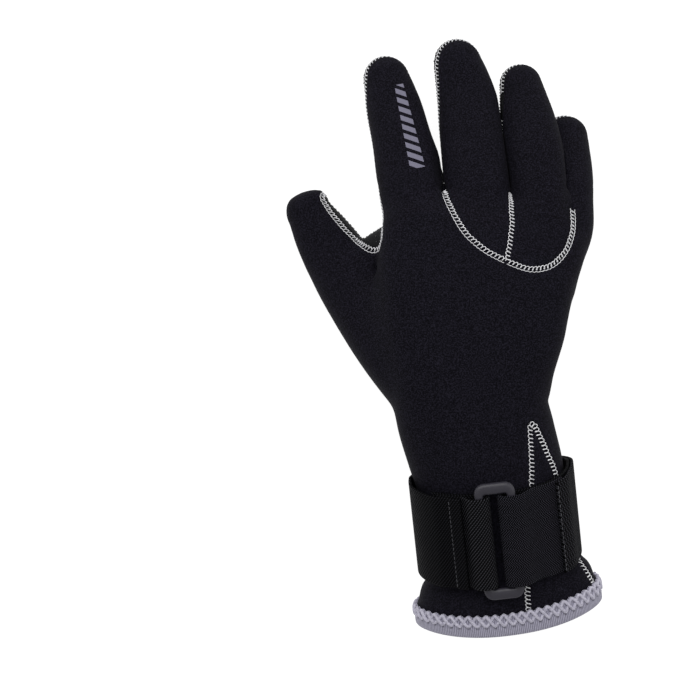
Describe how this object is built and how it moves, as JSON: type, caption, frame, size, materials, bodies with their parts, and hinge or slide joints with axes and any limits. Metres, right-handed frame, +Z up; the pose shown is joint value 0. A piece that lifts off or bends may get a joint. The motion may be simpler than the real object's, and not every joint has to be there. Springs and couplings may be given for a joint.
{
  "type": "neoprene dive glove",
  "caption": "Right-hand neoprene dive glove with studded palm, gusseted cuff with bound hem, and a wrist strap closed through a buckle.",
  "frame": {"origin": "on the surface that the glove lies on, under the middle of its bounding box", "axes": "+Y to the fingertips, +X to the little finger's side, +Z up, out of the back of the hand"},
  "size_m": [0.1582, 0.2969, 0.073],
  "materials": {
    "palm_rubber": "matt, studded with small nubs",
    "neoprene": "fine black nylon jersey on foam",
    "binding_tape": "ribbed grey knitted tape",
    "elastic_webbing": "black twill elastic",
    "hook_and_loop": "black hook and loop tape",
    "buckle_plastic": "dark grey moulded plastic"
  },
  "bodies": {
    "root": {"palm_panel": "palm_rubber", "back_panel": "neoprene", "middle_back": "neoprene", "ring_back": "neoprene", "cuff_gusset": "neoprene", "cuff_binding": "binding_tape", "wrist_strap": "elastic_webbing", "hook_tape": "hook_and_loop", "strap_buckle": "buckle_plastic"}
  },
  "joints": []
}
